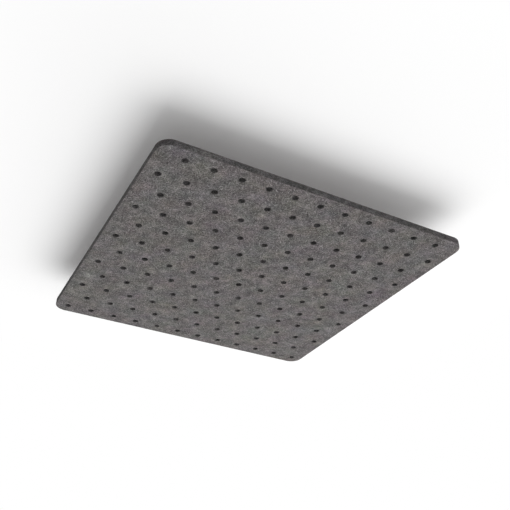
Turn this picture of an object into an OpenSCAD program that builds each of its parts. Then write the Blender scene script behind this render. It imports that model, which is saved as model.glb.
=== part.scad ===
// Suspended ceiling tile: one slab of pressed felt with round corners and a
// staggered field of perforations that go right through it.
// The back face lies on z = 0 with the origin at its centre, and the visible
// face looks down. Sizes are in millimetres.

/* [Tile] */
// Length of the tile along X
tile_length = 600; // [300:10:1200]
// Width of the tile along Y, across the rows of holes
tile_width = 600; // [300:10:1200]
// Thickness of the felt
felt_thickness = 12; // [6:1:30]
// Radius of the four corners in plan
corner_radius = 25; // [5:1:60]

/* [Perforation] */
// Diameter of each hole
hole_diameter = 12; // [4:0.5:20]
// Distance between the holes of one row
hole_pitch = 50; // [30:1:120]
// Distance between one row and the next
row_pitch = 50; // [30:1:120]
// Least distance from a hole's centre to the edge of the tile
edge_margin = 25; // [20:1:100]

/* [Hidden] */

// Fineness of the round corners and holes
$fn = 96;

// How far the hole cutters stand out of both faces
cut_over = 1;

// The field is centred on the tile and holds as many holes and rows as fit
holes_in_long_row = floor((tile_length - 2 * edge_margin) / hole_pitch) + 1;
row_count = floor((tile_width - 2 * edge_margin) / row_pitch) + 1;
first_row_y = -(row_count - 1) * row_pitch / 2;

felt_grey = [0.40, 0.39, 0.385];

// Every second row is a short one: it has one hole fewer, so its holes stand
// half a pitch to the side, between those of the long rows
function holes_in_row(row) = holes_in_long_row - (row % 2 == 0 ? 1 : 0);

// Centre of one hole, counted from the -X end of its row
function hole_place(row, i) = [
    (i - (holes_in_row(row) - 1) / 2) * hole_pitch,
    first_row_y + row * row_pitch
];

// Places its children on the centres of the four corner arcs
module at_corner_arcs() {
    for (sx = [-1, 1], sy = [-1, 1])
        translate([
            sx * (tile_length / 2 - corner_radius),
            sy * (tile_width / 2 - corner_radius)
        ])
            children();
}

// Outline of the tile in plan: two crossed bars and the four corner arcs
module tile_outline() {
    square([tile_length, tile_width - 2 * corner_radius], center = true);
    square([tile_length - 2 * corner_radius, tile_width], center = true);
    at_corner_arcs() circle(r = corner_radius);
}

// All the perforations as cutters that run past both faces
module perforation_field() {
    for (row = [0 : row_count - 1], i = [0 : holes_in_row(row) - 1])
        translate(concat(hole_place(row, i), -felt_thickness - cut_over))
            cylinder(d = hole_diameter, h = felt_thickness + 2 * cut_over);
}

// The whole tile: the slab hangs below the back face
module felt_tile() {
    color(felt_grey)
        difference() {
            translate([0, 0, -felt_thickness])
                linear_extrude(felt_thickness) tile_outline();
            perforation_field();
        }
}

felt_tile();
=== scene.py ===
"""Looks of the suspended ceiling tile: one slab of pressed, heathered felt with punched holes.

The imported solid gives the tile's place and size. A finer felt mesh stands in for it, dressed in
procedural felt, and a pale ceiling and floor, soft lamps and the photograph's camera are set round it.
The visible face looks down. Lengths are in metres unless a name says otherwise.
"""

import logging
import math
from collections.abc import Iterator, Sequence
from dataclasses import dataclass
from enum import Enum
from typing import NamedTuple

import bpy
from mathutils import Matrix, Vector, noise


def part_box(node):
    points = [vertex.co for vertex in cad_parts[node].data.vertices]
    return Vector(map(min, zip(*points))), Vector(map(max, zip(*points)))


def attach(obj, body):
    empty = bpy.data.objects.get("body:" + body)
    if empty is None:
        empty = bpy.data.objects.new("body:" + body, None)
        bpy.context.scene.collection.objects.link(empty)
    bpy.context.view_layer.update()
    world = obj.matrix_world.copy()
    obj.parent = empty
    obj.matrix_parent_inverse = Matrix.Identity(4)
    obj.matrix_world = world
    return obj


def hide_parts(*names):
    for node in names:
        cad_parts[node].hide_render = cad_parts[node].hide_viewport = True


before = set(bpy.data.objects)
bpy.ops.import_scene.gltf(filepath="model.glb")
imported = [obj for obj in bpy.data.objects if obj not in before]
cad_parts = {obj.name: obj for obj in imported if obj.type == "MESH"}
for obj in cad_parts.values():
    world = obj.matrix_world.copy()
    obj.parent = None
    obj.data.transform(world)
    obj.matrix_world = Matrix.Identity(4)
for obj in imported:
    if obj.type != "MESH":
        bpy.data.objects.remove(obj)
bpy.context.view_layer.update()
log = logging.getLogger("ceiling_tile")

TILE_NODE = "felt_tile"
TILE_PIECE = "pressed_felt_tile"
ROOT_BODY = "root"
MM = 0.001
MM_PER_METRE = 1000.0
MICROMETRES_PER_METRE = 1e6
WHITE = (1.0, 1.0, 1.0, 1.0)
ORIGIN = (0.0, 0.0, 0.0)

# The middle of a chance or a noise, which go from 0 to 1
MIDDLE = 0.5
MIDDLES = (MIDDLE, MIDDLE, MIDDLE)

Colour = tuple[float, float, float, float]
Plan = tuple[float, float]
Place = tuple[float, float, float]
Input = bpy.types.NodeSocket | float | Sequence[float]


def srgb(red: float, green: float, blue: float) -> Colour:
    """Turns a colour as seen on a screen into the linear one that a shader takes.

    Args:
        red: Red from 0 to 255.
        green: Green from 0 to 255.
        blue: Blue from 0 to 255.

    Returns:
        The linear colour, with an alpha of 1.
    """
    full, straight_until, slope, lift, power = 255, 0.04045, 12.92, 0.055, 2.4
    shares = [level / full for level in (red, green, blue)]
    linear = [
        share / slope if share <= straight_until else ((share + lift) / (1 + lift)) ** power
        for share in shares
    ]
    return (*linear, 1.0)


class Face(Enum):
    """The two flat faces of the tile, by the way that they look along Z."""

    VISIBLE = -1
    BACK = 1


class Finish(Enum):
    """The finishes of the tile, by their place in the mesh's list of materials."""

    PRESSED = 0
    CUT = 1


@dataclass
class Ring:
    """A closed line of points, and where each lies on the felt's own flat plan.

    The plan has the first point again at its end, where a wall that is rolled out does not close.
    """

    points: Sequence[Vector]
    plan: Sequence[Plan]

    @classmethod
    def on_face(cls, points: Sequence[Vector], shift: float) -> "Ring":
        """Makes a ring that lies in a flat face, which is its own plan, shifted along X."""
        plan = [(point.x + shift, point.y) for point in points]
        return cls(points, plan + plan[:1])


class SharedMesh:
    """A mesh in the making, in which pieces that meet at a place share one vertex there."""

    PLAN_MAP = "felt_plan"

    def __init__(self) -> None:
        """Starts with no vertices and no faces."""
        self.index_at: dict[tuple[int, int, int], int] = {}
        self.points: list[Vector] = []
        self.quads: list[tuple[int, ...]] = []
        self.plan: list[Plan] = []
        self.finishes: list[Finish] = []

    def vertex(self, point: Vector) -> int:
        """Gives the number of the vertex at a place, and makes it if it is new.

        Args:
            point: The place, which counts as the same within a micrometre.

        Returns:
            The vertex's number.
        """
        key = tuple(round(value * MICROMETRES_PER_METRE) for value in point)
        if key not in self.index_at:
            self.index_at[key] = len(self.points)
            self.points.append(point)
        return self.index_at[key]

    def quad(self, corners: Sequence[Vector], plan: Sequence[Plan], finish: Finish) -> None:
        """Adds one face of four corners, given counter-clockwise as seen from outside.

        Args:
            corners: The corners.
            plan: Where each corner lies on the felt's flat plan.
            finish: What the face is dressed in.
        """
        self.quads.append(tuple(self.vertex(corner) for corner in corners))
        self.plan.extend(plan)
        self.finishes.append(finish)

    def band(self, inner: Ring, outer: Ring, finish: Finish) -> None:
        """Joins two closed rings of equally many points by a band of faces.

        Args:
            inner: The ring on the left as one walks along it, seen from outside.
            outer: The ring on the right.
            finish: What the band is dressed in.
        """
        for i, start in enumerate(inner.points):
            after = (i + 1) % len(inner.points)
            corners = (start, outer.points[i], outer.points[after], inner.points[after])
            plan = (inner.plan[i], outer.plan[i], outer.plan[i + 1], inner.plan[i + 1])
            self.quad(corners, plan, finish)

    def build(self, name: str) -> bpy.types.Object:
        """Makes the Blender object, smooth shaded, and links it to the scene.

        Args:
            name: The object's name.

        Returns:
            The new object.
        """
        mesh = bpy.data.meshes.new(name)
        mesh.from_pydata(self.points, [], self.quads)
        mesh.polygons.foreach_set("material_index", [finish.value for finish in self.finishes])
        plan_map = mesh.uv_layers.new(name=self.PLAN_MAP)
        plan_map.uv.foreach_set("vector", [value for place in self.plan for value in place])
        mesh.shade_smooth()
        mesh.validate()
        made = bpy.data.objects.new(name, mesh)
        bpy.context.scene.collection.objects.link(made)
        return made


@dataclass
class FeltTile:
    """The slab of pressed felt, with round corners and a staggered field of punched holes.

    The plan is laid out in square cells one pitch wide, one round each hole, with half cells at the ends
    of the short rows. So the rings of faces round the holes join from cell to cell without a seam. The
    rings' places go from 0 at a hole's rim to 1 at the outline of its cell.
    """

    length: float
    width: float
    thickness: float
    back_height: float
    corner_radius: float = 25 * MM
    hole_diameter: float = 12 * MM
    pitch: float = 50 * MM
    arris_radius: float = 0.4 * MM
    arris_steps: int = 2
    flat_margin: float = 0.6 * MM
    cell_steps: int = 10
    ring_places: tuple[float, ...] = (0.0, 0.3, 0.64, 1.0)
    unevenness: float = 0.12 * MM
    unevenness_size: float = 22 * MM
    back_unevenness_shift: float = 7.3
    back_plan_shift: float = 2.0
    roll_start: Plan = (3.0, 7.0)

    @classmethod
    def from_node(cls, node: str) -> "FeltTile":
        """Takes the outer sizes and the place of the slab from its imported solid.

        Args:
            node: The solid's name.

        Returns:
            The tile, not yet built.
        """
        low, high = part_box(node)
        size = high - low
        return cls(size.x, size.y, size.z, high.z)

    @property
    def step(self) -> float:
        """The spacing of the mesh along the sides of a cell."""
        return self.pitch / self.cell_steps

    @property
    def half_length(self) -> float:
        """Half the tile's length along X."""
        return self.length / 2

    @property
    def half_width(self) -> float:
        """Half the tile's width along Y."""
        return self.width / 2

    @property
    def face_bands(self) -> int:
        """How many bands of a cut edge belong to each face: its margin and half of its arris."""
        return 1 + self.arris_steps // 2

    @property
    def edge_inset(self) -> float:
        """How far the margin of a face reaches in from a cut edge, over the rounded arris."""
        return self.arris_radius + self.flat_margin

    def face_height(self, face: Face) -> float:
        """The height of one of the flat faces."""
        return self.back_height if face is Face.BACK else self.back_height - self.thickness

    def plan_shift(self, face: Face) -> float:
        """How far a face is shifted on the felt's plan, so that the two faces are not mottled alike."""
        return self.back_plan_shift if face is Face.BACK else 0.0

    def rows(self) -> Iterator[tuple[float, list[float]]]:
        """Lists the holes row by row, where short and long rows take turns.

        Yields:
            A row's place along Y and the places of its holes along X.
        """
        row_count = round(self.width / self.pitch)
        long_count = round(self.length / self.pitch)
        for row in range(row_count):
            count = long_count - 1 if row % 2 == 0 else long_count
            first = -(count - 1) * self.pitch / 2
            places = [first + i * self.pitch for i in range(count)]
            yield (row + 0.5) * self.pitch - self.half_width, places

    def flat_point(self, x: float, y: float, height: float) -> Vector:
        """Fits a place of the square layout into a face, inside its margin and its round corners.

        Args:
            x: The place along X in the square layout.
            y: The place along Y in the square layout.
            height: The height of the face.

        Returns:
            The place on the face.
        """
        arc_x = self.half_length - self.corner_radius
        arc_y = self.half_width - self.corner_radius
        over_x, over_y = abs(x) - arc_x, abs(y) - arc_y
        if over_x > 0 and over_y > 0:
            share = min(over_x, over_y) / max(over_x, over_y)
            turn = math.radians(45) * (share if over_x >= over_y else 2 - share)
            reach = min(max(over_x, over_y), self.corner_radius - self.edge_inset)
            over_x, over_y = reach * math.cos(turn), reach * math.sin(turn)
        else:
            over_x = min(over_x, self.corner_radius - self.edge_inset)
            over_y = min(over_y, self.corner_radius - self.edge_inset)
        return Vector((math.copysign(arc_x + over_x, x), math.copysign(arc_y + over_y, y), height))

    def cell_outline(self, x: float, y: float, height: float) -> list[Vector]:
        """Walks round the square cell of a hole, counter-clockwise from its lower left corner.

        Args:
            x: The hole's place along X.
            y: The hole's place along Y.
            height: The height of the face.

        Returns:
            The points along the four sides, each side's last corner left to the next side.
        """
        half = self.pitch / 2
        corners = [(-half, -half), (half, -half), (half, half), (-half, half)]
        points = []
        for i, (start_x, start_y) in enumerate(corners):
            end_x, end_y = corners[(i + 1) % len(corners)]
            for j in range(self.cell_steps):
                share = j / self.cell_steps
                along_x = start_x + (end_x - start_x) * share
                along_y = start_y + (end_y - start_y) * share
                points.append(self.flat_point(x + along_x, y + along_y, height))
        return points

    def hole_walls(self, x: float, y: float) -> list[tuple[Vector, Vector]]:
        """Walks round the wall of a hole in step with its cell's outline.

        Args:
            x: The hole's place along X.
            y: The hole's place along Y.

        Returns:
            Points of the wall at height 0, each with the way that the wall looks there.
        """
        count = 4 * self.cell_steps
        centre = Vector((x, y, 0.0))
        lower_left = math.radians(225)
        points = []
        for i in range(count):
            turn = math.tau * i / count + lower_left
            outward = Vector((math.cos(turn), math.sin(turn), 0.0))
            points.append((centre + outward * self.hole_diameter / 2, -outward))
        return points

    def outline(self) -> list[tuple[Vector, Vector]]:
        """Walks round the outside of the tile, clockwise as seen from above.

        Returns:
            Points of the outline at height 0, each with the way that the side looks there.
        """
        arc_x = self.half_length - self.corner_radius
        arc_y = self.half_width - self.corner_radius
        centres = [(-arc_x, -arc_y), (-arc_x, arc_y), (arc_x, arc_y), (arc_x, -arc_y)]
        points = []
        for i, (x, y) in enumerate(centres):
            centre = Vector((x, y, 0.0))
            for j in range(self.cell_steps + 1):
                turn = math.radians(270 - 90 * i - 90 * j / self.cell_steps)
                outward = Vector((math.cos(turn), math.sin(turn), 0.0))
                points.append((centre + outward * self.corner_radius, outward))
            last, outward = points[-1]
            next_x, next_y = centres[(i + 1) % len(centres)]
            run = Vector((next_x - x, next_y - y, 0.0))
            straight_steps = round(run.length / self.step)
            for j in range(1, straight_steps):
                points.append((last + run * j / straight_steps, outward))
        return points

    def edge_profile(self) -> list[tuple[float, float]]:
        """Steps along a cut edge, from the visible face to the back, over both rounded arrises.

        A narrow flat margin on each side of an arris keeps the face and the wall beside it flat in shading.

        Returns:
            Pairs of the distance back from the wall and the height.
        """
        low, high = self.face_height(Face.VISIBLE), self.face_height(Face.BACK)
        turns = [math.radians(90) * i / self.arris_steps for i in range(self.arris_steps + 1)]
        arc = [
            (self.arris_radius * (1 - math.sin(turn)), self.arris_radius * (1 - math.cos(turn)))
            for turn in turns
        ]
        half = [(self.edge_inset, 0.0), *arc, (0.0, self.edge_inset)]
        lower = [(back, low + rise) for back, rise in half]
        upper = [(back, high - drop) for back, drop in reversed(half)]
        return lower + upper

    def lay_walls(self, mesh: SharedMesh, walls: Sequence[tuple[Vector, Vector]]) -> None:
        """Adds a cut edge, from face to face, along a closed line.

        On the felt's plan the wall is rolled out, from a start that roll_start gives by its place, so that
        the holes are not mottled alike. The margins of the faces, with the half of the arris next to each,
        lie where the faces do.

        Args:
            mesh: The mesh to add to.
            walls: Points along the line, with the way that the wall looks at each, the felt on the left.
        """
        first = walls[0][0]
        runs = [self.roll_start[0] * first.x + self.roll_start[1] * first.y]
        for i, (point, _) in enumerate(walls):
            after, _ = walls[(i + 1) % len(walls)]
            runs.append(runs[-1] + (after - point).length)
        profile = self.edge_profile()
        rolled, flat = [], []
        for i, (back, height) in enumerate(profile):
            points = [point - outward * back + Vector((0, 0, height)) for point, outward in walls]
            rolled.append(Ring(points, [(run, height) for run in runs]))
            face = Face.VISIBLE if i < len(profile) // 2 else Face.BACK
            flat.append(Ring.on_face(points, self.plan_shift(face)))
        last_on_wall = len(profile) - 2 - self.face_bands
        for i in range(len(profile) - 1):
            on_wall = self.face_bands <= i <= last_on_wall
            rings, finish = (rolled, Finish.CUT) if on_wall else (flat, Finish.PRESSED)
            mesh.band(rings[i], rings[i + 1], finish)

    def lay_hole_cell(self, mesh: SharedMesh, x: float, y: float, face: Face) -> None:
        """Adds the flat face round one hole, in rings from its rim to the outline of its cell.

        Args:
            mesh: The mesh to add to.
            x: The hole's place along X.
            y: The hole's place along Y.
            face: The face that it lies in.
        """
        height = self.face_height(face)
        rise = Vector((0, 0, height))
        rim = [point - outward * self.edge_inset + rise for point, outward in self.hole_walls(x, y)]
        outer = self.cell_outline(x, y, height)
        rings = []
        for place in self.ring_places:
            points = [a.lerp(b, place) for a, b in zip(rim, outer)]
            rings.append(Ring.on_face(points, self.plan_shift(face)))
        for inner, after in zip(rings, rings[1:]):
            pair = (inner, after) if face is Face.BACK else (after, inner)
            mesh.band(*pair, Finish.PRESSED)

    def lay_half_cell(self, mesh: SharedMesh, side: int, y: float, face: Face) -> None:
        """Adds the plain half cell at one end of a short row.

        Args:
            mesh: The mesh to add to.
            side: -1 for the end at low X, 1 for the end at high X.
            y: The row's place along Y.
            face: The face that it lies in.
        """
        height = self.face_height(face)
        inner_x = self.half_length - self.pitch / 2
        for i in range(self.cell_steps // 2):
            for j in range(self.cell_steps):
                x0, y0 = inner_x + i * self.step, y - self.pitch / 2 + j * self.step
                x1, y1 = x0 + self.step, y0 + self.step
                corners = [(x0, y0), (x1, y0), (x1, y1), (x0, y1)]
                points = [self.flat_point(side * px, py, height) for px, py in corners]
                if side * face.value < 0:
                    points.reverse()
                mesh.quad(points, Ring.on_face(points, self.plan_shift(face)).plan[:-1], Finish.PRESSED)

    def settle(self, point: Vector) -> Vector:
        """Lifts or sinks a point a little, for the soft unevenness of a pressed face.

        Args:
            point: A point of the true shape.

        Returns:
            The point, moved along Z only.
        """
        depth = (self.back_height - point.z) / self.thickness
        spot = Vector((point.x, point.y, 0.0)) / self.unevenness_size
        back_spot = spot + Vector((0.0, 0.0, self.back_unevenness_shift))
        face_lift = self.unevenness * noise.noise(spot)
        back_lift = self.unevenness * noise.noise(back_spot)
        return point + Vector((0.0, 0.0, face_lift * depth + back_lift * (1 - depth)))

    def build(self) -> bpy.types.Object:
        """Builds the whole slab as one closed mesh.

        Returns:
            The tile's object.
        """
        mesh = SharedMesh()
        for y, holes in self.rows():
            for x in holes:
                for face in Face:
                    self.lay_hole_cell(mesh, x, y, face)
                self.lay_walls(mesh, self.hole_walls(x, y))
            if len(holes) * self.pitch < self.length - self.step:
                for face in Face:
                    self.lay_half_cell(mesh, -1, y, face)
                    self.lay_half_cell(mesh, 1, y, face)
        self.lay_walls(mesh, self.outline())
        mesh.points = [self.settle(point) for point in mesh.points]
        return mesh.build(TILE_PIECE)

    def dress(self, tile: bpy.types.Object) -> None:
        """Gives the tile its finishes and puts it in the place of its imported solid.

        Args:
            tile: The tile's object.
        """
        for finish in Finish:
            tile.data.materials.append(FINISHES[finish].material())
        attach(tile, ROOT_BODY)
        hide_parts(TILE_NODE)


class Mottle(NamedTuple):
    """A cloudy noise over the felt, by the width of its largest clouds in millimetres.

    Detail is how many finer layers it has, and roughness is how strong each one is, as a share of the
    one before.
    """

    size: float
    detail: float
    roughness: float


class NodeBoard:
    """Lays nodes on a shader tree and joins them up."""

    # Blender's mix node has sockets for each type of data: these are the ones for colours
    MIX_FIRST, MIX_SECOND, MIXED = 6, 7, 2

    def __init__(self, tree: bpy.types.NodeTree) -> None:
        """Takes the tree to work on."""
        self.tree = tree

    def feed(self, socket: bpy.types.NodeSocket, value: Input) -> None:
        """Joins another node's socket to an input, or sets the input to a plain value.

        Args:
            socket: The input.
            value: What goes to it.
        """
        if isinstance(value, bpy.types.NodeSocket):
            self.tree.links.new(value, socket)
        else:
            socket.default_value = value

    def add(self, kind: str, inputs: dict[str | int, Input], **settings: object) -> bpy.types.Node:
        """Adds a node.

        Args:
            kind: Blender's name for the kind of node.
            inputs: What goes to each input, by the input's name or number.
            settings: The node's own settings.

        Returns:
            The node.
        """
        node = self.tree.nodes.new(kind)
        for name, value in settings.items():
            setattr(node, name, value)
        for name, value in inputs.items():
            self.feed(node.inputs[name], value)
        return node

    def group(self, tree: bpy.types.NodeTree, inputs: dict[str, Input]) -> bpy.types.Node:
        """Places a node group, with what goes to each of its inputs by name."""
        return self.add("ShaderNodeGroup", inputs, node_tree=tree)

    def math(self, operation: str, first: Input, second: Input = 0.0) -> bpy.types.NodeSocket:
        """Works out one sum of two numbers, or of one number where the operation needs no other."""
        return self.add("ShaderNodeMath", {0: first, 1: second}, operation=operation).outputs[0]

    def vector(self, operation: str, first: Input, second: Input = ORIGIN) -> bpy.types.NodeSocket:
        """Works out one sum of two vectors, or of one vector where the operation needs no other."""
        return self.add("ShaderNodeVectorMath", {0: first, 1: second}, operation=operation).outputs[0]

    def scaled(self, vector: Input, by: Input) -> bpy.types.NodeSocket:
        """Multiplies a vector or a colour by a number."""
        inputs = {0: vector, "Scale": by}
        return self.add("ShaderNodeVectorMath", inputs, operation="SCALE").outputs[0]

    def fade(self, value: Input, start: Input, end: Input) -> bpy.types.NodeSocket:
        """Goes smoothly from 0 where the value is at start to 1 where it is at end."""
        inputs = {"Value": value, "From Min": start, "From Max": end}
        return self.add("ShaderNodeMapRange", inputs, interpolation_type="SMOOTHSTEP").outputs[0]

    def span(self, value: Input, low: float, high: float) -> bpy.types.NodeSocket:
        """Maps a share from 0 to 1 onto the span from low to high."""
        inputs = {"Value": value, "To Min": low, "To Max": high}
        return self.add("ShaderNodeMapRange", inputs).outputs[0]

    def noise(self, place: Input, mottle: Mottle) -> bpy.types.Node:
        """Adds a cloudy noise.

        Args:
            place: Where on the felt, in millimetres.
            mottle: What the noise is like.

        Returns:
            The node.
        """
        inputs = {"Vector": place, "Scale": 1 / mottle.size}
        inputs |= {"Detail": mottle.detail, "Roughness": mottle.roughness}
        return self.add("ShaderNodeTexNoise", inputs)

    def mix(self, share: Input, first: Input, second: Input) -> bpy.types.NodeSocket:
        """Mixes two colours."""
        inputs = {0: share, self.MIX_FIRST: first, self.MIX_SECOND: second}
        return self.add("ShaderNodeMix", inputs, data_type="RGBA").outputs[self.MIXED]


class FibreScatter:
    """Node group: short bent fibres scattered over a plane, one in each cell of a random pattern.

    Within the group, lengths are shares of the spacing. A fibre fades away towards its ends, and the
    rarity is the power that makes strong fibres fewer than faint ones.
    """

    NAME = "fibre_scatter"
    AMOUNTS = (("Spacing", 5.0), ("Thickness", 0.1), ("Bend", 1.0))
    HALF_LENGTH = 0.5
    FADES_FROM = 0.3
    RARITY = 1.5

    @classmethod
    def tree(cls) -> bpy.types.NodeTree:
        """Makes the group once, and gives the same one after that."""
        return bpy.data.node_groups.get(cls.NAME) or cls.build()

    @classmethod
    def build(cls) -> bpy.types.NodeTree:
        """Builds the group.

        Returns:
            A node group that puts out how strongly a fibre shows, from 0 to 1.
        """
        tree = bpy.data.node_groups.new(cls.NAME, "ShaderNodeTree")
        tree.interface.new_socket("Place", in_out="INPUT", socket_type="NodeSocketVector")
        for name, value in cls.AMOUNTS:
            socket = tree.interface.new_socket(name, in_out="INPUT", socket_type="NodeSocketFloat")
            socket.default_value = value
        tree.interface.new_socket("Fibre", in_out="OUTPUT", socket_type="NodeSocketFloat")
        board = NodeBoard(tree)
        given = board.add("NodeGroupInput", {}).outputs
        place = board.scaled(given["Place"], board.math("DIVIDE", 1.0, given["Spacing"]))
        cells = board.add("ShaderNodeTexVoronoi", {"Vector": place, "Scale": 1.0}, voronoi_dimensions="2D")
        chance = board.add("ShaderNodeSeparateColor", {"Color": cells.outputs["Color"]}).outputs
        offset = board.vector("SUBTRACT", place, cells.outputs["Position"])
        turn = board.math("MULTIPLY", chance["Red"], math.tau)
        inputs = {"Vector": offset, "Angle": turn}
        turned = board.add("ShaderNodeVectorRotate", inputs, rotation_type="Z_AXIS")
        local = board.add("ShaderNodeSeparateXYZ", {0: turned.outputs[0]}).outputs
        curl = board.math("MULTIPLY", board.math("SUBTRACT", chance["Green"], MIDDLE), given["Bend"])
        sag = board.math("MULTIPLY", curl, board.math("MULTIPLY", local["X"], local["X"]))
        aside = board.math("ABSOLUTE", board.math("ADD", local["Y"], sag))
        across = board.fade(aside, given["Thickness"], 0.0)
        along = board.fade(board.math("ABSOLUTE", local["X"]), cls.HALF_LENGTH, cls.FADES_FROM)
        strength = board.math("MULTIPLY", across, along)
        strength = board.math("MULTIPLY", strength, board.math("POWER", chance["Blue"], cls.RARITY))
        board.add("NodeGroupOutput", {"Fibre": strength})
        return tree


class FeltHeather:
    """Node group: the mottled colour of felt that is pressed from fibres of several greys.

    Lengths are in millimetres. The drift bends the fibres and the finer mottling out of line, by up to
    half its reach. Each size of fibre is its spacing, and its thickness as a share of that.
    """

    NAME = "felt_heather"
    PLACE = "Place"
    COLOURS = ("Base", "Pale fibre", "Dark fibre")
    AMOUNTS = ("Clouding", "Clumping", "Flecking", "Tinting", "Pale share", "Dark share")
    DRIFT = Mottle(size=9.0, detail=2.0, roughness=0.5)
    DRIFT_REACH = 6.0
    CLOUDS = Mottle(size=32.0, detail=1.0, roughness=0.6)
    CLUMPS = Mottle(size=14.0, detail=2.0, roughness=0.6)
    FLECKS = Mottle(size=3.0, detail=2.0, roughness=0.8)
    TINTS = Mottle(size=55.0, detail=2.0, roughness=0.7)
    FUZZ = Mottle(size=1.2, detail=2.0, roughness=0.7)
    FIBRE_SIZES = ((8.0, 0.075), (4.5, 0.095), (2.4, 0.12))
    FIBRE_BEND = 1.6
    DARK_SHIFT = (31.7, 12.9)
    PALE_SHIFT = (71.3, 54.1)

    @classmethod
    def tree(cls) -> bpy.types.NodeTree:
        """Makes the group once, and gives the same one after that."""
        return bpy.data.node_groups.get(cls.NAME) or cls.build()

    @classmethod
    def fibres(cls, board: NodeBoard, place: Input, shift: Plan) -> Input:
        """Places the fibres of one grey, in a scatter of each size.

        Args:
            board: The board to lay them on.
            place: Where on the surface, in millimetres.
            shift: How far these fibres are shifted from those of the other grey, in spacings.

        Returns:
            How strongly the fibres show.
        """
        shown: Input = 0.0
        for spacing, thickness in cls.FIBRE_SIZES:
            shifted = board.vector("ADD", place, (shift[0] * spacing, shift[1] * spacing, 0.0))
            inputs = {"Place": shifted, "Spacing": spacing, "Thickness": thickness, "Bend": cls.FIBRE_BEND}
            scatter = board.group(FibreScatter.tree(), inputs)
            shown = board.math("MAXIMUM", shown, scatter.outputs["Fibre"])
        return shown

    @classmethod
    def build(cls) -> bpy.types.NodeTree:
        """Builds the group.

        Returns:
            A node group that puts out the felt's colour and the height of its nap.
        """
        tree = bpy.data.node_groups.new(cls.NAME, "ShaderNodeTree")
        tree.interface.new_socket(cls.PLACE, in_out="INPUT", socket_type="NodeSocketVector")
        for name in cls.COLOURS:
            tree.interface.new_socket(name, in_out="INPUT", socket_type="NodeSocketColor")
        for name in cls.AMOUNTS:
            tree.interface.new_socket(name, in_out="INPUT", socket_type="NodeSocketFloat")
        tree.interface.new_socket("Colour", in_out="OUTPUT", socket_type="NodeSocketColor")
        tree.interface.new_socket("Nap", in_out="OUTPUT", socket_type="NodeSocketFloat")
        board = NodeBoard(tree)
        given = board.add("NodeGroupInput", {}).outputs
        place = given[cls.PLACE]
        drift = board.vector("SUBTRACT", board.noise(place, cls.DRIFT).outputs["Color"], MIDDLES)
        bent = board.vector("ADD", place, board.scaled(drift, cls.DRIFT_REACH))

        clouds = board.noise(place, cls.CLOUDS).outputs["Fac"]
        clumps = board.noise(bent, cls.CLUMPS).outputs["Fac"]
        flecks = board.noise(bent, cls.FLECKS).outputs["Fac"]
        tints = board.noise(place, cls.TINTS).outputs["Color"]
        swing: Input = 0.0
        for layer, amount in ((clouds, "Clouding"), (clumps, "Clumping"), (flecks, "Flecking")):
            share = board.math("MULTIPLY", board.math("SUBTRACT", layer, MIDDLE), given[amount])
            swing = board.math("ADD", swing, share)
        colour = board.scaled(given["Base"], board.math("EXPONENT", swing))
        tinting = board.scaled(board.vector("SUBTRACT", tints, MIDDLES), given["Tinting"])
        colour = board.vector("MULTIPLY", colour, board.vector("ADD", (1.0, 1.0, 1.0), tinting))

        dark = cls.fibres(board, bent, cls.DARK_SHIFT)
        pale = cls.fibres(board, bent, cls.PALE_SHIFT)
        colour = board.mix(board.math("MULTIPLY", dark, given["Dark share"]), colour, given["Dark fibre"])
        colour = board.mix(board.math("MULTIPLY", pale, given["Pale share"]), colour, given["Pale fibre"])
        fuzz = board.noise(bent, cls.FUZZ).outputs["Fac"]
        nap = board.math("ADD", pale, board.math("ADD", fuzz, flecks))
        board.add("NodeGroupOutput", {"Colour": colour, "Nap": nap})
        return tree


@dataclass(frozen=True)
class FeltFinish:
    """One finish of the felt: its greys, how they are mottled, and its nap."""

    name: str
    layering: float
    base: Colour
    pale_fibre: Colour
    dark_fibre: Colour
    clouding: float
    clumping: float
    flecking: float
    tinting: float
    pale_share: float
    dark_share: float
    nap_depth: float = 0.25 * MM
    nap_strength: float = 0.35
    roughness: float = 0.95
    specular: float = 0.2
    sheen: float = 0.08
    sheen_roughness: float = 0.5

    def place(self, board: NodeBoard) -> bpy.types.NodeSocket:
        """Gives the place on the felt's plan in millimetres, squeezed where the fibres lie in layers.

        Args:
            board: The board of the material.

        Returns:
            The place as a vector.
        """
        plan = board.add("ShaderNodeUVMap", {}, uv_map=SharedMesh.PLAN_MAP).outputs[0]
        return board.vector("MULTIPLY", plan, (MM_PER_METRE, MM_PER_METRE * self.layering, 0.0))

    def material(self) -> bpy.types.Material:
        """Makes the material.

        Returns:
            The material.
        """
        made = bpy.data.materials.new(self.name)
        made.use_nodes = True
        made.node_tree.nodes.clear()
        board = NodeBoard(made.node_tree)
        greys = (self.base, self.pale_fibre, self.dark_fibre)
        mottling = (self.clouding, self.clumping, self.flecking, self.tinting)
        fibres = (self.pale_share, self.dark_share)
        inputs = dict(zip(FeltHeather.COLOURS + FeltHeather.AMOUNTS, greys + mottling + fibres))
        heather = board.group(FeltHeather.tree(), {FeltHeather.PLACE: self.place(board), **inputs})
        nap = {"Height": heather.outputs["Nap"], "Distance": self.nap_depth, "Strength": self.nap_strength}
        bump = board.add("ShaderNodeBump", nap)
        surface = {
            "Base Color": heather.outputs["Colour"],
            "Roughness": self.roughness,
            "Specular IOR Level": self.specular,
            "Sheen Weight": self.sheen,
            "Sheen Roughness": self.sheen_roughness,
            "Normal": bump.outputs["Normal"],
        }
        felt = board.add("ShaderNodeBsdfPrincipled", surface)
        board.add("ShaderNodeOutputMaterial", {"Surface": felt.outputs[0]})
        return made


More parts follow.
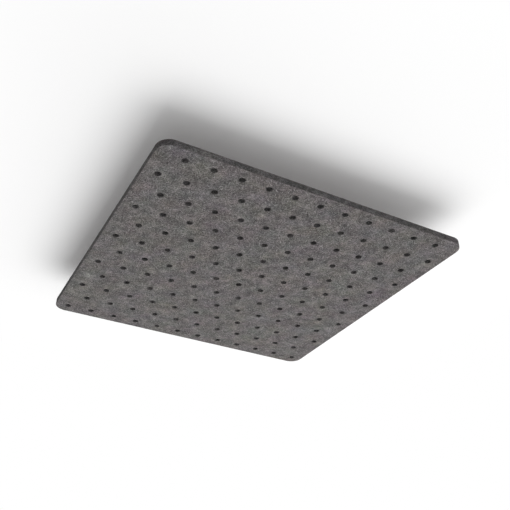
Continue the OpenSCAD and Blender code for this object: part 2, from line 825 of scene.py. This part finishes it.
PRESSED_FELT = FeltFinish(
    name="pressed_felt_face",
    layering=1.0,
    base=srgb(89.6, 86.1, 85.5),
    pale_fibre=srgb(162, 159, 158),
    dark_fibre=srgb(20, 19, 19),
    clouding=1.2,
    clumping=1.75,
    flecking=3.4,
    tinting=0.31,
    pale_share=1.0,
    dark_share=1.0,
)

CUT_FELT = FeltFinish(
    name="cut_felt_edge",
    layering=1.5,
    base=srgb(91.5, 89.5, 89.5),
    pale_fibre=srgb(135, 132, 131),
    dark_fibre=srgb(62, 60, 60),
    clouding=1.7,
    clumping=1.7,
    flecking=4.3,
    tinting=0.2,
    pale_share=0.8,
    dark_share=0.8,
)

FINISHES = {Finish.PRESSED: PRESSED_FELT, Finish.CUT: CUT_FELT}


def seen_by_camera(board: NodeBoard) -> bpy.types.NodeSocket:
    """Tells the rays that come straight from the camera, as 1, from all others."""
    return board.add("ShaderNodeLightPath", {}).outputs["Is Camera Ray"]


def seen_in_mirror(board: NodeBoard) -> bpy.types.NodeSocket:
    """Tells the rays that come by way of gloss or glass, as 1, from all others."""
    ray = board.add("ShaderNodeLightPath", {}).outputs
    return board.math("MAXIMUM", ray["Is Glossy Ray"], ray["Is Transmission Ray"])


@dataclass
class StagePlane:
    """A level plane of the stage, which shows from its front only.

    Rays that it does not show to go through it. Unless a kind of plane says otherwise, those are all but
    the camera's own, so that it holds back no light.
    """

    name: str
    height: float
    looks: Face
    half_length: float
    half_width: float

    def paint(self, board: NodeBoard) -> bpy.types.NodeSocket:
        """Makes what the plane shows, as a shader."""
        raise NotImplementedError

    def seen(self, board: NodeBoard) -> Input:
        """Tells the rays that the plane shows to, as 1, from those that it lets through."""
        return seen_by_camera(board)

    def material(self) -> bpy.types.Material:
        """Makes the material, clear from behind and to the rays that the plane does not show to.

        Returns:
            The material.
        """
        made = bpy.data.materials.new(self.name + "_paint")
        made.use_nodes = True
        made.node_tree.nodes.clear()
        board = NodeBoard(made.node_tree)
        clear = board.add("ShaderNodeBsdfTransparent", {}).outputs[0]
        behind = board.add("ShaderNodeNewGeometry", {}).outputs["Backfacing"]
        shows = board.math("MULTIPLY", self.seen(board), board.math("SUBTRACT", 1.0, behind))
        surface = board.add("ShaderNodeMixShader", {0: shows, 1: clear, 2: self.paint(board)}).outputs[0]
        board.add("ShaderNodeOutputMaterial", {"Surface": surface})
        return made

    def build(self) -> bpy.types.Object:
        """Builds the plane.

        Returns:
            The plane's object.
        """
        mesh = bpy.data.meshes.new(self.name)
        corners = [(-1, -1), (1, -1), (1, 1), (-1, 1)]
        if self.looks is Face.VISIBLE:
            corners.reverse()
        points = [(x * self.half_length, y * self.half_width, self.height) for x, y in corners]
        mesh.from_pydata(points, [], [(0, 1, 2, 3)])
        mesh.materials.append(self.material())
        plane = bpy.data.objects.new(self.name, mesh)
        bpy.context.scene.collection.objects.link(plane)
        return plane


@dataclass
class Backdrop(StagePlane):
    """A pale plane, which takes the tile's shadow and turns plain white further out."""

    covered: Plan
    colour: Colour = WHITE
    shadow_reach: float = 0.0
    white_from: float = 0.4

    def reach(self, board: NodeBoard) -> bpy.types.NodeSocket:
        """Measures how far a place lies outside the square that the tile covers.

        Args:
            board: The board of the material.

        Returns:
            The distance, 0 inside the square.
        """
        own = board.add("ShaderNodeTexCoord", {}).outputs["Object"]
        flat = board.vector("MULTIPLY", own, (1.0, 1.0, 0.0))
        folded = board.vector("ABSOLUTE", flat)
        past = board.vector("SUBTRACT", folded, (*self.covered, 0.0))
        outside = board.vector("MAXIMUM", past, ORIGIN)
        return board.add("ShaderNodeVectorMath", {0: outside}, operation="LENGTH").outputs["Value"]

    def seen(self, board: NodeBoard) -> Input:
        """Shows to the camera, and also by way of gloss or glass where the tile does not lie against it.

        Args:
            board: The board of the material.

        Returns:
            1 for a ray that the plane shows to.
        """
        open_to_view = board.math("GREATER_THAN", self.reach(board), 0.0)
        mirrored = board.math("MULTIPLY", seen_in_mirror(board), open_to_view)
        return board.math("MAXIMUM", seen_by_camera(board), mirrored)

    def paint(self, board: NodeBoard) -> bpy.types.NodeSocket:
        """Makes pale paint that goes over to plain white away from the square that the tile covers.

        Args:
            board: The board of the material.

        Returns:
            The shader.
        """
        plain = board.fade(self.reach(board), self.shadow_reach, self.white_from)
        pale = board.add("ShaderNodeBsdfDiffuse", {"Color": self.colour}).outputs[0]
        white = board.add("ShaderNodeEmission", {"Color": WHITE, "Strength": 1.0}).outputs[0]
        return board.add("ShaderNodeMixShader", {0: plain, 1: pale, 2: white}).outputs[0]


@dataclass
class HoleShade(StagePlane):
    """A plane within the slab, which only its holes show, with painted shade: a flat dark tone that stands
    in for the shade of the gap behind the tile.

    Where it holds back the light from behind, it glows with an even dim light on the walls of the holes
    instead, a stand-in for the light that comes down the gap.
    """

    holds_light: bool
    # painted shade: the flat dark tone that the camera sees through the holes
    colour: Colour = srgb(42, 41, 41)
    # painted light: the glow that the plane gives the hole walls in place of light from the gap
    dim_light: Colour = (0.4, 0.4, 0.4, 1.0)

    def seen(self, board: NodeBoard) -> Input:
        """Shows to the camera, and to all rays where the light from behind is held back."""
        return 1.0 if self.holds_light else seen_by_camera(board)

    def paint(self, board: NodeBoard) -> bpy.types.NodeSocket:
        """Makes an even dark tone to look at, which is painted shade, and an even dim glow that lights the
        felt round it.
        """
        # painted shade to the camera, a dim glow to all other rays
        painted_shade_and_glow = board.mix(seen_by_camera(board), self.dim_light, self.colour)
        return board.add("ShaderNodeEmission", {"Color": painted_shade_and_glow, "Strength": 1.0}).outputs[0]


@dataclass
class Stage:
    """What stands round the tile: a pale ceiling and floor, and the painted shade that its holes show."""

    tile: FeltTile
    reach: float = 8.0
    ceiling_gap: float = 68 * MM
    floor_gap: float = 1 * MM
    shade_depth: float = 2 * MM

    def planes(self) -> list[StagePlane]:
        """Lists the planes, each placed by one of the tile's faces.

        Returns:
            The planes, not yet built.
        """
        tile = self.tile
        low, high = tile.face_height(Face.VISIBLE), tile.face_height(Face.BACK)
        wide = (self.reach, self.reach)
        covered = (tile.half_length, tile.half_width)
        holes = (tile.half_length - tile.hole_diameter, tile.half_width - tile.hole_diameter)
        return [
            Backdrop("ceiling", high + self.ceiling_gap, Face.VISIBLE, *wide, covered),
            Backdrop("floor", low - self.floor_gap, Face.BACK, *wide, covered),
            HoleShade("shade_above", high - self.shade_depth, Face.VISIBLE, *holes, holds_light=True),
            HoleShade("shade_below", low + self.shade_depth, Face.BACK, *holes, holds_light=False),
        ]


@dataclass
class SoftLamp:
    """A large square lamp that does not show.

    Its level is what a white face at the tile's middle shows by its light alone. Its power is worked out
    from that, over as many samples along each of its sides.
    """

    name: str
    place: Place
    aim: Place
    size: float
    level: float
    samples: int = 16

    def watts(self, turned: Matrix) -> float:
        """Works out the power at which a white face at the tile's middle shows the lamp's level.

        Args:
            turned: The lamp's own place and turn.

        Returns:
            The power.
        """
        ahead = turned.to_3x3() @ Vector((0.0, 0.0, -1.0))
        steps = [self.size * ((i + 0.5) / self.samples - 0.5) for i in range(self.samples)]
        received = 0.0
        for across in steps:
            for along in steps:
                spot = turned @ Vector((across, along, 0.0))
                received += abs(spot.z) * max(-spot.dot(ahead), 0.0) / spot.length**4
        area = self.size**2
        received *= area / self.samples**2
        return math.pi**2 * area * self.level / received

    def build(self) -> bpy.types.Object:
        """Builds the lamp.

        Returns:
            The lamp's object.
        """
        turn = (Vector(self.aim) - Vector(self.place)).to_track_quat("-Z", "Y")
        lamp = bpy.data.lights.new(self.name, "AREA")
        lamp.shape = "SQUARE"
        lamp.size = self.size
        lamp.energy = self.watts(Matrix.LocRotScale(Vector(self.place), turn, None))
        made = bpy.data.objects.new(self.name, lamp)
        made.location = self.place
        made.rotation_euler = turn.to_euler()
        made.visible_camera = False
        bpy.context.scene.collection.objects.link(made)
        return made


LAMPS = (
    SoftLamp(name="lamp_below", place=(1.11, 0.94, -2.4), aim=(1.11, 0.94, 0.0), size=3.44, level=0.39),
    SoftLamp(name="lamp_above", place=(0.7, 0.9, 1.2), aim=ORIGIN, size=1.8, level=0.46),
)


@dataclass
class Surroundings:
    """The soft light from all round, brighter from below and from one side, which shows as plain white."""

    level_below: float = 0.655
    level_above: float = 0.48
    lean: Place = (0.77, 0.13, 0.0)
    horizon_blur: float = 0.3

    def build(self) -> bpy.types.World:
        """Builds the world and sets it on the scene.

        Returns:
            The world.
        """
        world = bpy.data.worlds.new("even_light")
        world.use_nodes = True
        world.node_tree.nodes.clear()
        board = NodeBoard(world.node_tree)
        towards = board.add("ShaderNodeTexCoord", {}).outputs["Generated"]
        upward = board.add("ShaderNodeSeparateXYZ", {0: towards}).outputs["Z"]
        above = board.fade(upward, -self.horizon_blur, self.horizon_blur)
        dot = board.add("ShaderNodeVectorMath", {0: towards, 1: self.lean}, operation="DOT_PRODUCT")
        leaning = board.math("ADD", dot.outputs["Value"], 1.0)
        level = board.math("MULTIPLY", board.span(above, self.level_below, self.level_above), leaning)
        light = board.add("ShaderNodeBackground", {"Color": WHITE, "Strength": level}).outputs[0]
        shown = board.add("ShaderNodeBackground", {"Color": WHITE, "Strength": 1.0}).outputs[0]
        seen = board.math("MAXIMUM", seen_by_camera(board), seen_in_mirror(board))
        mixed = board.add("ShaderNodeMixShader", {0: seen, 1: light, 2: shown}).outputs[0]
        board.add("ShaderNodeOutputWorld", {"Surface": mixed})
        bpy.context.scene.world = world
        return world


@dataclass
class PhotoCamera:
    """The photograph's camera, below the tile and looking up at it."""

    name: str = "photo_camera"
    place: Place = (-0.5614, -1.0707, -0.7222)
    heading_deg: float = 28.664
    rise_deg: float = 32.388
    lens_mm: float = 50.0
    sensor_mm: float = 36.0

    def build(self) -> bpy.types.Object:
        """Builds the camera and makes it the scene's own.

        Returns:
            The camera's object.
        """
        heading, rise = math.radians(self.heading_deg), math.radians(self.rise_deg)
        level = math.cos(rise)
        ahead = Vector((math.sin(heading) * level, math.cos(heading) * level, math.sin(rise)))
        lens = bpy.data.cameras.new(self.name)
        lens.lens = self.lens_mm
        lens.sensor_width = self.sensor_mm
        made = bpy.data.objects.new(self.name, lens)
        made.location = self.place
        made.rotation_euler = ahead.to_track_quat("-Z", "Y").to_euler()
        bpy.context.scene.collection.objects.link(made)
        bpy.context.scene.camera = made
        return made


def main() -> None:
    """Builds the camera, the tile, the stage and the light, and reports each."""
    logging.basicConfig(level=logging.INFO, format="%(message)s")
    bpy.context.scene.view_settings.view_transform = "Standard"
    log.info("%s", PhotoCamera().build().name)

    tile = FeltTile.from_node(TILE_NODE)
    slab = tile.build()
    tile.dress(slab)
    log.info("%s: %d faces", slab.name, len(slab.data.polygons))

    for item in [*Stage(tile).planes(), *LAMPS]:
        log.info("%s", item.build().name)
    Surroundings().build()


if __name__ == "__main__":
    main()
